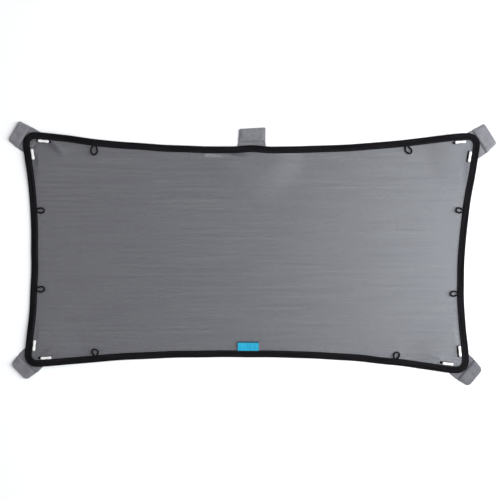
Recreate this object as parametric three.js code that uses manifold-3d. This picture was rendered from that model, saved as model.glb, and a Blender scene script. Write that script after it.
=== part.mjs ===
// Car side window sunshade: a taut mesh panel in an elastic edge binding, held to a steel window
// frame by five magnets in fabric pouches. It lies face up on a table, as it comes to rest.
// Lengths are in millimetres. +X runs along the top edge, +Y points to the top edge and +Z is up.

import * as THREE from 'three';
import { mergeVertices } from 'three/addons/utils/BufferGeometryUtils.js';
import Module from 'manifold-3d';

const wasm = await Module();
wasm.setup();

// Gap between pieces that touch
const GAP = 0.3;

// Outline of the shade, at the outer edge of its binding
const TOP_WIDTH = 653;
const LEFT_HEIGHT = 335.5;
const RIGHT_HEIGHT = 342.7;
const TOP_RIGHT_DROP = 1.4;
const BOTTOM_LEFT_INSET = 2.9;
const BOTTOM_RIGHT_INSET = 15.7;
const CORNER_RADIUS = 17;

// Sides that the tension draws in: how deep, where along them, and how far the curve runs level there
const TOP_SAG = 20;
const BOTTOM_SAG = 18;
const LEFT_SAG = 10;
const RIGHT_SAG = 12.6;
const TOP_DEEPEST_RATIO = 0.5;
const BOTTOM_DEEPEST_RATIO = 0.48;
const LEFT_DEEPEST_RATIO = 0.5;
const RIGHT_DEEPEST_RATIO = 0.65;
const LONG_SIDE_LEVEL_RATIO = 0.67;
const LEFT_LEVEL_RATIO = 0.66;
const RIGHT_LEVEL_RATIO = 0.5;
const LONG_SIDE_SHOULDER = 40;
const SHORT_SIDE_SHOULDER = 17;

// Edge binding, folded elastic around the edge of the mesh
const BINDING_WIDTH = 10;
const BINDING_PLY = 1;
const BINDING_CROWN = 0.3;
const CROWN_FROM_EDGE = 3.5;
const CROWN_LENGTH = 4;
const LIP_DROP = 0.2;

// Mesh panel
const PANEL_THICKNESS = 0.5;

// Rings of the mesh panel, as shares of the way from its middle to its edge
const PANEL_RING_RATIOS = [1, 0.965, 0.91, 0.85, 0.77, 0.5, 0];

// Magnet pouches
const POUCH_PLY = 0.6;
const POUCH_REACH = 19;
const CENTRE_POUCH_REACH = 24;
const POCKET_LENGTH = 18.5;
const POUCH_END_WIDTH = 31.5;
const POUCH_NECK_WIDTH = 38;
const CENTRE_POUCH_END_WIDTH = 37;
const CENTRE_POUCH_NECK_WIDTH = 41;
const POUCH_CORNER_RADIUS = 3.5;
const POUCH_EDGE_ROUND = 1.3;
const POUCH_END_WALL = 1.8;
const POUCH_SIDE_SEAM = 2.2;
const POUCH_SHOULDER = 3.6;
const POUCH_TOP_ROUND = 2.2;
const POUCH_BOTTOM_ROUND = 1.4;
const NECK_DEPTH = 8;
const NECK_CLOTH_LENGTH = 16;
const NECK_CUT_HEIGHT = 20;
const TOP_LEFT_POUCH_ANGLE = 150.3;
const TOP_RIGHT_POUCH_ANGLE = 32.3;
const BOTTOM_RIGHT_POUCH_ANGLE = -40.1;
const BOTTOM_LEFT_POUCH_ANGLE = 225;
const TOP_LEFT_POUCH_OFFSET = -1.7;
const TOP_RIGHT_POUCH_OFFSET = -3.5;
const BOTTOM_RIGHT_POUCH_OFFSET = -1.3;
const BOTTOM_LEFT_POUCH_OFFSET = -1.4;
const CENTRE_POUCH_OFFSET = 1.3;

// Block magnets
const MAGNET_WIDTH = 25;
const MAGNET_LENGTH = 12;
const MAGNET_THICKNESS = 3;
const MAGNET_CORNER_RADIUS = 1;

// Rise of the shade over the pouch necks, and the bulge of the binding over the centre pouch
const RISE_PLATEAU = 34;
const RISE_FALL = 50;
const CENTRE_BULGE = 2;
const CENTRE_BULGE_REACH = 30;

// Cord loops, from the end of each corner's round
const CORD_DIAMETER = 2;
const LOOP_FROM_CORNER_LONG_SIDE = 85;
const LOOP_FROM_CORNER_SHORT_SIDE = 94;
const LOOP_TILT = 10;

// Course of one leg of a loop, from the binding to the loop's tip
const LOOP_LEG = [[0, -2.2], [1.5, -2.3], [4.8, -3.5], [8.4, -4.2], [11.5, -3]];
const LOOP_TIP = [12.7, 0];

// Toggles, from the end of each corner's round
const TOGGLE_LENGTH = 16;
const TOGGLE_DIAMETER = 4.4;
const TOGGLE_WAIST_DIAMETER = 3.4;
const TOGGLE_WAIST_LENGTH = 5;
const TOGGLE_END_ROUND = 1.8;
const TOGGLE_FROM_CORNER = 13;
const TOGGLE_BINDING_GAP = 0.8;

// Folded label at the bottom edge
const LABEL_WIDTH = 30;
const LABEL_LENGTH = 12;
const LABEL_PLY = 0.4;
const LABEL_TILT = 8;
const LABEL_OFFSET = 14.4;

// Steps of the faceted curves
const LONG_HALF_STEPS = 20;
const SHORT_HALF_STEPS = 10;
const CORNER_STEPS = 6;
const CORD_SEGMENTS = 8;
const LOOP_STEPS = 14;
const TOGGLE_SEGMENTS = 10;

// Heights above the table
const BINDING_SLOT = PANEL_THICKNESS + 2 * GAP;
const BINDING_THICKNESS = 2 * BINDING_PLY + BINDING_SLOT;
const PANEL_TOP = BINDING_PLY + GAP + PANEL_THICKNESS;
const NECK_THICKNESS = 2 * POUCH_PLY + GAP;
const NECK_RISE = NECK_THICKNESS + GAP;
const POCKET_THICKNESS = 2 * POUCH_PLY + MAGNET_THICKNESS + 2 * GAP;

const vec2 = (x, y) => new THREE.Vector2(x, y);
const vec3 = (x, y, z) => new THREE.Vector3(x, y, z);

// Outer points of the four corners
const topLeft = vec2(-TOP_WIDTH / 2, LEFT_HEIGHT / 2);
const topRight = vec2(TOP_WIDTH / 2, topLeft.y - TOP_RIGHT_DROP);
const bottomRight = vec2(topRight.x - BOTTOM_RIGHT_INSET, topRight.y - RIGHT_HEIGHT);
const bottomLeft = vec2(topLeft.x + BOTTOM_LEFT_INSET, topLeft.y - LEFT_HEIGHT);

// A corner's round, clockwise from a start angle in degrees
function cornerArc(corner, startAngle) {
  const inX = corner.x < 0 ? CORNER_RADIUS : -CORNER_RADIUS;
  const inY = corner.y < 0 ? CORNER_RADIUS : -CORNER_RADIUS;
  const start = THREE.MathUtils.degToRad(startAngle);
  const centre = corner.clone().add(vec2(inX, inY));
  return new THREE.ArcCurve(centre.x, centre.y, CORNER_RADIUS, start, start - Math.PI / 2, true);
}

const corners = {
  topLeft: cornerArc(topLeft, 180),
  topRight: cornerArc(topRight, 90),
  bottomRight: cornerArc(bottomRight, 0),
  bottomLeft: cornerArc(bottomLeft, -90),
};

// The two halves of a side, which both run level at its deepest point
function sideHalves(from, to, { sag, deepestAt, level, shoulder, steps }) {
  const start = from.getPoint(1);
  const end = to.getPoint(0);
  const along = Math.abs(end.x - start.x) > Math.abs(end.y - start.y)
    ? vec2(Math.sign(end.x - start.x), 0)
    : vec2(0, Math.sign(end.y - start.y));
  const inward = vec2(along.y, -along.x);
  const deepest = start.clone().lerp(end, deepestAt).addScaledVector(inward, sag);
  const reachBefore = deepest.clone().sub(start).dot(along) * level;
  const reachAfter = end.clone().sub(deepest).dot(along) * level;
  const first = new THREE.CubicBezierCurve(
    start,
    start.clone().addScaledVector(along, shoulder),
    deepest.clone().addScaledVector(along, -reachBefore),
    deepest,
  );
  const second = new THREE.CubicBezierCurve(
    deepest,
    deepest.clone().addScaledVector(along, reachAfter),
    end.clone().addScaledVector(along, -shoulder),
    end,
  );
  return { first, second, steps };
}

const longSide = { level: LONG_SIDE_LEVEL_RATIO, shoulder: LONG_SIDE_SHOULDER, steps: LONG_HALF_STEPS };
const shortSide = { shoulder: SHORT_SIDE_SHOULDER, steps: SHORT_HALF_STEPS };
const sides = {
  top: sideHalves(corners.topLeft, corners.topRight, {
    ...longSide, sag: TOP_SAG, deepestAt: TOP_DEEPEST_RATIO,
  }),
  right: sideHalves(corners.topRight, corners.bottomRight, {
    ...shortSide, sag: RIGHT_SAG, deepestAt: RIGHT_DEEPEST_RATIO, level: RIGHT_LEVEL_RATIO,
  }),
  bottom: sideHalves(corners.bottomRight, corners.bottomLeft, {
    ...longSide, sag: BOTTOM_SAG, deepestAt: 1 - BOTTOM_DEEPEST_RATIO,
  }),
  left: sideHalves(corners.bottomLeft, corners.topLeft, {
    ...shortSide, sag: LEFT_SAG, deepestAt: 1 - LEFT_DEEPEST_RATIO, level: LEFT_LEVEL_RATIO,
  }),
};

// A half wave that falls from 1 at 0 to 0 at 1
const fade = (t) => 0.5 + 0.5 * Math.cos(Math.PI * THREE.MathUtils.clamp(t, 0, 1));

// A place on the outline, clockwise, with the way into the shade
function station(curve, share) {
  const point = curve.getPointAt(share);
  const along = curve.getTangentAt(share);
  const inward = vec2(along.y, -along.x);
  return { point, inward };
}

const centrePouchX = sides.top.first.getPoint(1).x + CENTRE_POUCH_OFFSET;

// The bulge moves a place on the top edge outwards over the neck of the centre pouch
function bulged(place) {
  const away = Math.abs(place.point.x - centrePouchX) / CENTRE_BULGE_REACH;
  const out = place.point.y > 0 ? CENTRE_BULGE * fade(away) : 0;
  return { ...place, point: place.point.clone().addScaledVector(place.inward, -out) };
}

function stationsOf(curve, steps) {
  return Array.from({ length: steps }, (_, i) => bulged(station(curve, i / steps)));
}

const outline = [
  [corners.topLeft, sides.top],
  [corners.topRight, sides.right],
  [corners.bottomRight, sides.bottom],
  [corners.bottomLeft, sides.left],
].flatMap(([corner, side]) => [
  ...stationsOf(corner, CORNER_STEPS),
  ...stationsOf(side.first, side.steps),
  ...stationsOf(side.second, side.steps),
]);

const insetPoint = (place, depth) => place.point.clone().addScaledVector(place.inward, depth);

// Pouches: a start on the binding's outer edge, the way out and their sizes
function cornerPouch(corner, angle, offset) {
  const turn = THREE.MathUtils.degToRad(angle);
  const out = vec2(Math.cos(turn), Math.sin(turn));
  const across = vec2(-out.y, out.x);
  const start = vec2(corner.aX, corner.aY)
    .addScaledVector(out, CORNER_RADIUS)
    .addScaledVector(across, offset);
  return {
    start, out, turn, reach: POUCH_REACH, endWidth: POUCH_END_WIDTH, neckWidth: POUCH_NECK_WIDTH,
  };
}

const pouches = {
  top_left: cornerPouch(corners.topLeft, TOP_LEFT_POUCH_ANGLE, TOP_LEFT_POUCH_OFFSET),
  top_right: cornerPouch(corners.topRight, TOP_RIGHT_POUCH_ANGLE, TOP_RIGHT_POUCH_OFFSET),
  bottom_right: cornerPouch(
    corners.bottomRight,
    BOTTOM_RIGHT_POUCH_ANGLE,
    BOTTOM_RIGHT_POUCH_OFFSET,
  ),
  bottom_left: cornerPouch(
    corners.bottomLeft,
    BOTTOM_LEFT_POUCH_ANGLE,
    BOTTOM_LEFT_POUCH_OFFSET,
  ),
  top_centre: {
    start: vec2(centrePouchX, sides.top.first.getPoint(1).y + CENTRE_BULGE),
    out: vec2(0, 1),
    turn: Math.PI / 2,
    reach: CENTRE_POUCH_REACH,
    endWidth: CENTRE_POUCH_END_WIDTH,
    neckWidth: CENTRE_POUCH_NECK_WIDTH,
  },
};

// Height of the shade over a place on the table: it rises over the neck of each pouch
const riseCentres = Object.values(pouches).map(
  (pouch) => pouch.start.clone().addScaledVector(pouch.out, -BINDING_WIDTH / 2),
);

function rise(x, y) {
  const nearest = Math.min(...riseCentres.map((centre) => Math.hypot(x - centre.x, y - centre.y)));
  return NECK_RISE * fade((nearest - RISE_PLATEAU) / RISE_FALL);
}

// A surface over rings of points. A wrapped one joins its last ring to its first, and any other
// one starts and ends in rings that have shrunk to a point.
function loft(rings, wrapped) {
  const count = rings[0].length;
  const positions = rings.flat().flatMap((point) => [point.x, point.y, point.z]);
  const indices = [];
  const bands = wrapped ? rings.length : rings.length - 1;
  for (let i = 0; i < bands; i += 1) {
    const ring = i * count;
    const nextRing = ((i + 1) % rings.length) * count;
    for (let j = 0; j < count; j += 1) {
      const next = (j + 1) % count;
      indices.push(ring + j, nextRing + j, nextRing + next);
      indices.push(ring + j, nextRing + next, ring + next);
    }
  }
  const geometry = new THREE.BufferGeometry();
  geometry.setAttribute('position', new THREE.Float32BufferAttribute(positions, 3));
  geometry.setIndex(indices);
  return geometry;
}

// Edge binding: its section has a round fold outside and is open towards the mesh
function bindingSection() {
  const halfway = BINDING_THICKNESS / 2;
  const crownTop = BINDING_THICKNESS + BINDING_CROWN;
  const slotEnd = BINDING_PLY + BINDING_SLOT / 2;
  const fold = new THREE.ArcCurve(halfway, halfway, halfway, -Math.PI / 2, Math.PI / 2, true);
  const slot = new THREE.ArcCurve(slotEnd, halfway, BINDING_SLOT / 2, Math.PI / 2, -Math.PI / 2, false);
  return [
    vec2(BINDING_WIDTH, 0),
    ...fold.getPoints(4),
    vec2(CROWN_FROM_EDGE, crownTop),
    vec2(CROWN_FROM_EDGE + CROWN_LENGTH, crownTop),
    vec2(BINDING_WIDTH, BINDING_THICKNESS - LIP_DROP),
    vec2(BINDING_WIDTH, halfway + BINDING_SLOT / 2),
    ...slot.getPoints(2),
    vec2(BINDING_WIDTH, halfway - BINDING_SLOT / 2),
  ];
}

function bindingGeometry() {
  const section = bindingSection().reverse();
  const rings = outline.map((place) => section.map((corner) => {
    const at = insetPoint(place, corner.x);
    return vec3(at.x, at.y, corner.y + rise(at.x, at.y));
  }));
  return loft(rings, true);
}

// Mesh panel: rings that shrink from its edge, which the binding holds, to its middle
function panelGeometry() {
  const edgeDepth = BINDING_PLY + BINDING_SLOT / 2 + GAP;
  const centre = vec2(0, 0);
  const ringAt = (share, height) => outline.map((place) => {
    const at = centre.clone().lerp(insetPoint(place, edgeDepth), share);
    return vec3(at.x, at.y, height + rise(at.x, at.y));
  });
  const underside = PANEL_RING_RATIOS.map((share) => ringAt(share, PANEL_TOP - PANEL_THICKNESS));
  const face = PANEL_RING_RATIOS.map((share) => ringAt(share, PANEL_TOP));
  return loft([...underside.reverse(), ...face], false);
}

// Solids that are joined and cut
function solidOf(geometry) {
  const bare = geometry.clone();
  bare.deleteAttribute('normal');
  bare.deleteAttribute('uv');
  const merged = mergeVertices(bare);
  return new wasm.Manifold(new wasm.Mesh({
    numProp: 3,
    vertProperties: merged.attributes.position.array,
    triVerts: new Uint32Array(merged.index.array),
  }));
}

function geometryOf(solid) {
  const mesh = solid.getMesh();
  const geometry = new THREE.BufferGeometry();
  geometry.setAttribute('position', new THREE.BufferAttribute(mesh.vertProperties, mesh.numProp));
  geometry.setIndex(new THREE.BufferAttribute(mesh.triVerts, 1));
  return geometry;
}

// A block between two corners
function block(low, high) {
  const size = high.clone().sub(low);
  const geometry = new THREE.BoxGeometry(size.x, size.y, size.z);
  geometry.translate((low.x + high.x) / 2, (low.y + high.y) / 2, (low.z + high.z) / 2);
  return geometry;
}

// Pouch, in its own frame: +X points out of the shade from the binding's outer edge
function pouchProfile(reach) {
  const seam = reach - POCKET_LENGTH;
  const profile = new THREE.Shape();
  profile.moveTo(-2 * NECK_CLOTH_LENGTH, 0);
  profile.lineTo(reach - POUCH_BOTTOM_ROUND, 0);
  profile.quadraticCurveTo(reach, 0, reach, POUCH_BOTTOM_ROUND);
  profile.lineTo(reach, POCKET_THICKNESS - POUCH_TOP_ROUND);
  profile.quadraticCurveTo(reach, POCKET_THICKNESS, reach - POUCH_TOP_ROUND, POCKET_THICKNESS);
  profile.lineTo(seam + POUCH_SHOULDER, POCKET_THICKNESS);
  profile.quadraticCurveTo(seam + POUCH_SHOULDER / 4, POCKET_THICKNESS, seam, NECK_THICKNESS);
  profile.lineTo(-2 * NECK_CLOTH_LENGTH, NECK_THICKNESS);
  return profile;
}

function pouchPlan({ reach, endWidth, neckWidth }) {
  const end = reach - POUCH_EDGE_ROUND;
  const endHalf = endWidth / 2 - POUCH_EDGE_ROUND;
  const neckHalf = neckWidth / 2 - POUCH_EDGE_ROUND;
  const plan = new THREE.Shape();
  plan.moveTo(-NECK_CLOTH_LENGTH, -neckHalf);
  plan.lineTo(0, -neckHalf);
  plan.lineTo(end - POUCH_CORNER_RADIUS, -endHalf);
  plan.quadraticCurveTo(end, -endHalf, end, -endHalf + POUCH_CORNER_RADIUS);
  plan.lineTo(end, endHalf - POUCH_CORNER_RADIUS);
  plan.quadraticCurveTo(end, endHalf, end - POUCH_CORNER_RADIUS, endHalf);
  plan.lineTo(0, neckHalf);
  plan.lineTo(-NECK_CLOTH_LENGTH, neckHalf);
  return plan;
}

function pouchBody(pouch) {
  const across = new THREE.ExtrudeGeometry(pouchProfile(pouch.reach), {
    depth: 2 * pouch.neckWidth, bevelEnabled: false, curveSegments: 3,
  });
  across.translate(0, 0, -pouch.neckWidth);
  across.rotateX(Math.PI / 2);
  const upward = new THREE.ExtrudeGeometry(pouchPlan(pouch), {
    depth: POCKET_THICKNESS - 2 * POUCH_EDGE_ROUND,
    bevelThickness: POUCH_EDGE_ROUND,
    bevelSize: POUCH_EDGE_ROUND,
    bevelSegments: 2,
    curveSegments: 3,
  });
  upward.translate(0, 0, POUCH_EDGE_ROUND);
  return solidOf(across).intersect(solidOf(upward));
}

// The magnet's hollow, and the slit between the plies of the neck that leads to it
function pouchHollow({ reach, neckWidth }) {
  const hollowEnd = reach - POUCH_END_WALL;
  const hollowHalf = MAGNET_WIDTH / 2 + GAP;
  const hollow = block(
    vec3(hollowEnd - MAGNET_LENGTH - 2 * GAP, -hollowHalf, POUCH_PLY),
    vec3(hollowEnd, hollowHalf, POCKET_THICKNESS - POUCH_PLY),
  );
  const slitHalf = neckWidth / 2 - POUCH_SIDE_SEAM - POUCH_EDGE_ROUND;
  const slit = block(
    vec3(-2 * NECK_CLOTH_LENGTH, -slitHalf, POUCH_PLY),
    vec3(hollowEnd - MAGNET_LENGTH, slitHalf, POUCH_PLY + GAP),
  );
  return solidOf(hollow).add(solidOf(slit));
}

// What lies further in than the neck reaches under the binding
function innerField() {
  const field = new THREE.Shape(outline.map((place) => insetPoint(place, NECK_DEPTH)));
  const geometry = new THREE.ExtrudeGeometry(field, { depth: NECK_CUT_HEIGHT, bevelEnabled: false });
  geometry.translate(0, 0, -NECK_CUT_HEIGHT / 2);
  return geometry;
}

function pouchGeometry(pouch) {
  const placed = geometryOf(pouchBody(pouch).subtract(pouchHollow(pouch)));
  placed.rotateZ(pouch.turn);
  placed.translate(pouch.start.x, pouch.start.y, 0);
  return geometryOf(solidOf(placed).subtract(solidOf(innerField())));
}

function magnetGeometry(pouch) {
  const hollowEnd = pouch.reach - POUCH_END_WALL;
  const round = MAGNET_CORNER_RADIUS;
  const half = MAGNET_WIDTH / 2;
  const plan = new THREE.Shape();
  plan.absarc(MAGNET_LENGTH - round, half - round, round, 0, Math.PI / 2);
  plan.absarc(round, half - round, round, Math.PI / 2, Math.PI);
  plan.absarc(round, round - half, round, Math.PI, 1.5 * Math.PI);
  plan.absarc(MAGNET_LENGTH - round, round - half, round, 1.5 * Math.PI, 2 * Math.PI);
  const geometry = new THREE.ExtrudeGeometry(plan, {
    depth: MAGNET_THICKNESS, bevelEnabled: false, curveSegments: 3,
  });
  geometry.translate(hollowEnd - GAP - MAGNET_LENGTH, 0, POUCH_PLY + GAP);
  geometry.rotateZ(pouch.turn);
  geometry.translate(pouch.start.x, pouch.start.y, 0);
  return geometry;
}

// Cord loop, in its own frame: +X points into the shade from the binding's inner edge
function loopGeometry() {
  const legAndBack = [...LOOP_LEG, LOOP_TIP, ...LOOP_LEG.toReversed().map(([x, y]) => [x, -y])];
  const path = new THREE.CatmullRomCurve3(legAndBack.map(([x, y]) => vec3(x, y, 0)));
  const section = new THREE.Shape();
  section.absarc(0, 0, CORD_DIAMETER / 2, 0, 2 * Math.PI);
  return new THREE.ExtrudeGeometry(section, {
    steps: LOOP_STEPS, curveSegments: CORD_SEGMENTS / 2, extrudePath: path,
  });
}

// Toggle, in its own frame: a bar along Y with round ends and a waist for its thread
function toggleGeometry() {
  const half = TOGGLE_LENGTH / 2;
  const radius = TOGGLE_DIAMETER / 2;
  const profile = [
    vec2(0, -half),
    vec2(radius - TOGGLE_END_ROUND / 3, -half + TOGGLE_END_ROUND / 3),
    vec2(radius, -half + TOGGLE_END_ROUND),
    vec2(radius, -TOGGLE_WAIST_LENGTH / 2),
    vec2(TOGGLE_WAIST_DIAMETER / 2, -TOGGLE_WAIST_LENGTH / 6),
    vec2(TOGGLE_WAIST_DIAMETER / 2, TOGGLE_WAIST_LENGTH / 6),
    vec2(radius, TOGGLE_WAIST_LENGTH / 2),
    vec2(radius, half - TOGGLE_END_ROUND),
    vec2(radius - TOGGLE_END_ROUND / 3, half - TOGGLE_END_ROUND / 3),
    vec2(0, half),
  ];
  return new THREE.LatheGeometry(profile, TOGGLE_SEGMENTS);
}

// Label, in its own frame: +X points into the shade, and the tape is folded at its free end
function labelGeometry() {
  const outer = LABEL_PLY + GAP / 2;
  const fold = LABEL_LENGTH - outer;
  const section = new THREE.Shape();
  section.moveTo(0, -outer);
  section.lineTo(fold, -outer);
  section.absarc(fold, 0, outer, -Math.PI / 2, Math.PI / 2);
  section.lineTo(0, outer);
  section.lineTo(0, GAP / 2);
  section.lineTo(fold, GAP / 2);
  section.absarc(fold, 0, GAP / 2, Math.PI / 2, -Math.PI / 2, true);
  section.lineTo(0, -GAP / 2);
  const geometry = new THREE.ExtrudeGeometry(section, {
    depth: LABEL_WIDTH, bevelEnabled: false, curveSegments: 4,
  });
  geometry.translate(0, 0, -LABEL_WIDTH / 2);
  geometry.rotateX(Math.PI / 2);
  return geometry;
}

// Materials: a colour, a roughness and a metalness
const material = (color, roughness, metalness = 0) => new THREE.MeshStandardMaterial({
  color, roughness, metalness,
});

const shade = new THREE.Group();

function addPiece(name, geometry, finish) {
  const mesh = new THREE.Mesh(geometry, finish);
  mesh.name = name;
  shade.add(mesh);
  return mesh;
}

// Places a piece at a height above the table, turned so that its +X points into the shade
function placeAt(mesh, place, depth, height, tilt = 0) {
  const at = insetPoint(place, depth);
  mesh.rotation.order = 'ZYX';
  mesh.rotation.z = Math.atan2(place.inward.y, place.inward.x);
  mesh.rotation.y = THREE.MathUtils.degToRad(-tilt);
  mesh.position.set(at.x, at.y, height + rise(at.x, at.y));
}

addPiece('mesh_panel', panelGeometry(), material('#6b6a70', 0.9));
addPiece('edge_binding', bindingGeometry(), material('#1c1b20', 0.85));

for (const [where, pouch] of Object.entries(pouches)) {
  addPiece(`pouch_${where}`, pouchGeometry(pouch), material('#86858a', 0.95));
  addPiece(`magnet_${where}`, magnetGeometry(pouch), material('#b9bcc0', 0.3, 1));
}

// Each half side has a loop and a toggle, measured from its corner
const halfSides = {
  top_left: { curve: sides.top.first, fromStart: true, loopAt: LOOP_FROM_CORNER_LONG_SIDE },
  top_right: { curve: sides.top.second, fromStart: false, loopAt: LOOP_FROM_CORNER_LONG_SIDE },
  right_upper: { curve: sides.right.first, fromStart: true, loopAt: LOOP_FROM_CORNER_SHORT_SIDE },
  right_lower: { curve: sides.right.second, fromStart: false, loopAt: LOOP_FROM_CORNER_SHORT_SIDE },
  bottom_right: { curve: sides.bottom.first, fromStart: true, loopAt: LOOP_FROM_CORNER_LONG_SIDE },
  bottom_left: { curve: sides.bottom.second, fromStart: false, loopAt: LOOP_FROM_CORNER_LONG_SIDE },
  left_lower: { curve: sides.left.first, fromStart: true, loopAt: LOOP_FROM_CORNER_SHORT_SIDE },
  left_upper: { curve: sides.left.second, fromStart: false, loopAt: LOOP_FROM_CORNER_SHORT_SIDE },
};

function placeFromCorner({ curve, fromStart }, distance) {
  const share = distance / curve.getLength();
  return station(curve, fromStart ? share : 1 - share);
}

for (const [where, half] of Object.entries(halfSides)) {
  const loop = addPiece(`loop_${where}`, loopGeometry(), material('#141318', 0.7));
  const loopHeight = PANEL_TOP + GAP + CORD_DIAMETER / 2;
  placeAt(loop, placeFromCorner(half, half.loopAt), BINDING_WIDTH + GAP, loopHeight, LOOP_TILT);

  const toggle = addPiece(`toggle_${where}`, toggleGeometry(), material('#f2f1ee', 0.45));
  const toggleDepth = BINDING_WIDTH + TOGGLE_BINDING_GAP + TOGGLE_DIAMETER / 2;
  const toggleHeight = PANEL_TOP + GAP + TOGGLE_DIAMETER / 2;
  placeAt(toggle, placeFromCorner(half, TOGGLE_FROM_CORNER), toggleDepth, toggleHeight);
}

const labelPlace = station(sides.bottom.first, 1 - LABEL_OFFSET / sides.bottom.first.getLength());
const label = addPiece('woven_label', labelGeometry(), material('#1cc0e2', 0.6));
const labelHeight = PANEL_TOP + GAP + LABEL_PLY + GAP / 2;
placeAt(label, labelPlace, BINDING_WIDTH + GAP, labelHeight, LABEL_TILT);

// The origin is below the middle of the part
const extent = new THREE.Box3().setFromObject(shade);
const middle = extent.getCenter(new THREE.Vector3());
shade.position.set(-middle.x, -middle.y, -extent.min.z);

export default shade;
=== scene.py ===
"""Car side window sunshade: taut mesh, elastic binding, magnet pouches, cord loops, toggles and a label."""

import math

import bmesh
import bpy
import numpy as np
from mathutils import Matrix, Vector


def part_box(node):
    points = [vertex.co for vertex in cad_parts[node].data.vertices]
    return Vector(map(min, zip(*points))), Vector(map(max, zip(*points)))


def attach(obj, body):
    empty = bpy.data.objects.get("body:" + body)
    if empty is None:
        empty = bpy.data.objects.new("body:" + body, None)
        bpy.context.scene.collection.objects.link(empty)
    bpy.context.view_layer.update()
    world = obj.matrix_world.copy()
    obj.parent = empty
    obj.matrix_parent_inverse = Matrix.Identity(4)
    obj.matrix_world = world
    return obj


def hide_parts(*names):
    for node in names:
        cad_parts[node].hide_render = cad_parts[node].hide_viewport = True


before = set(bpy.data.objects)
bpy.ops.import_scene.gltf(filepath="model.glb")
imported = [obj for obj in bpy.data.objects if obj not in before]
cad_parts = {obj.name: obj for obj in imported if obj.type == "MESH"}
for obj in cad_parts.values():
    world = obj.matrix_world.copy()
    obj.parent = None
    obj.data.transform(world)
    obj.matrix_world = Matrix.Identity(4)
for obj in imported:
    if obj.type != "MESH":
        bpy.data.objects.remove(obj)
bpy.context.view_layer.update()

# Lengths are in millimetres until a point is written to a mesh
MM = 0.001

# Outline at the binding's outer edge, as in the solids
TOP_WIDTH = 653
LEFT_HEIGHT = 335.5
RIGHT_HEIGHT = 342.7
TOP_RIGHT_DROP = 1.4
BOTTOM_LEFT_INSET = 2.9
BOTTOM_RIGHT_INSET = 15.7
CORNER_RADIUS = 17
TOP_SAG, BOTTOM_SAG, LEFT_SAG, RIGHT_SAG = 20, 18, 10, 12.6
TOP_DEEPEST, BOTTOM_DEEPEST, LEFT_DEEPEST, RIGHT_DEEPEST = 0.5, 0.48, 0.5, 0.65
LONG_LEVEL, LEFT_LEVEL, RIGHT_LEVEL = 0.67, 0.66, 0.5
LONG_SHOULDER, SHORT_SHOULDER = 40, 17

# The centre pouch lies that far to the right of the top edge's middle
CENTRE_POUCH_ASIDE = 1.3

# Binding, mesh and the heights at which they lie
BINDING_WIDTH = 10
LIP_GAP = 0.3
MESH_FLAT = (650, 341)
MESH_INSET = 2.2
MESH_HEIGHT = 1.55
MESH_TOP = 2.1
LIP_HEIGHT = 2.9
STITCH_DEPTH = 8.3
STITCH_PITCH = 3.6
NECK_RISE = 1.8
RISE_PLATEAU = 34
RISE_FALL = 50
CENTRE_BULGE = 2
CENTRE_BULGE_REACH = 30

# Pouches
NECK_DEPTH = 8
MAGNET_WIDTH = 25
MAGNET_LENGTH = 12
MAGNET_FROM_END = 2.1
POCKET_TOP = 4.75
NECK_TOP = 1.45
RIM_TOP = 2.2
RIM_FOOT = 0.7

# Cord loops, toggles and label
CORD_DIAMETER = 2.5
LOOP_REACH = 12.7
LOOP_TILT = 10
LOOP_FROM_CORNER_LONG = 85
LOOP_FROM_CORNER_SHORT = 94
TOGGLE_DIAMETER = 4
TOGGLE_GAP = 0.6
KEEPER_WIDTH = 4
KEEPER_HEIGHT = 2.0
KEEPER_THICKNESS = 0.5
LABEL_WIDTH = 30
LABEL_LENGTH = 12
LABEL_TILT = 8
LABEL_OFFSET = 13.5
LABEL_THICKNESS = 0.32
LABEL_IN_SEAM = 1.6
LABEL_PLY_GAP = 0.45

# The stage
FLOOR_HALF_WIDTH = 6
FLOOR_DROP = 0.15
SURROUND_STRENGTH = 0.68
VIEW_CENTRE = (-0.00337, 0.00508)
VIEW_WIDTH = 0.715


# Flat lines that the pieces follow


class Line:
    """A line through points, measured along its length, clockwise round the shade."""

    def __init__(self, points, closed=False):
        self.points = np.asarray(points, float)
        self.closed = closed
        steps = np.hypot(*np.diff(self.points, axis=0).T)
        self.reach = np.concatenate(([0.0], np.cumsum(steps)))
        self.length = self.reach[-1]

    def at(self, distance):
        d = np.asarray(distance, float)
        d = d % self.length if self.closed else np.clip(d, 0, self.length)
        return np.stack([np.interp(d, self.reach, self.points[:, k]) for k in (0, 1)], axis=-1)

    def inward(self, distance):
        d = np.asarray(distance, float)
        along = self.at(d + 0.6) - self.at(d - 0.6)
        along /= np.hypot(along[..., 0], along[..., 1])[..., None]
        return np.stack([along[..., 1], -along[..., 0]], axis=-1)

    def inset(self, distance, depth):
        return self.at(distance) + self.inward(distance) * np.asarray(depth)[..., None]


def corner_arc(corner, start_angle):
    """The round of a corner: its centre, and its points clockwise."""
    inward = np.where(np.asarray(corner) < 0, CORNER_RADIUS, -CORNER_RADIUS)
    turn = math.radians(start_angle) - np.linspace(0, math.pi / 2, 121)
    centre = corner + inward
    return centre, centre + CORNER_RADIUS * np.stack([np.cos(turn), np.sin(turn)], axis=-1)


def bezier(a, b, c, d):
    """Points of the cubic curve from a to d."""
    t = np.linspace(0, 1, 401)[:, None]
    return a * (1 - t) ** 3 + 3 * b * t * (1 - t) ** 2 + 3 * c * t**2 * (1 - t) + d * t**3


def side_halves(start, end, sag, deepest, level, shoulder):
    """The two halves of a side that is drawn in, which meet where it is drawn in most."""
    span = end - start
    along = np.where(np.abs(span) == np.abs(span).max(), np.sign(span), 0)
    inward = np.array((along[1], -along[0]))
    low = start + span * deepest + inward * sag
    before, after = (low - start) @ along * level, (end - low) @ along * level
    first = bezier(start, start + along * shoulder, low - along * before, low)
    second = bezier(low, low + along * after, end - along * shoulder, end)
    return first, second


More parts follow.
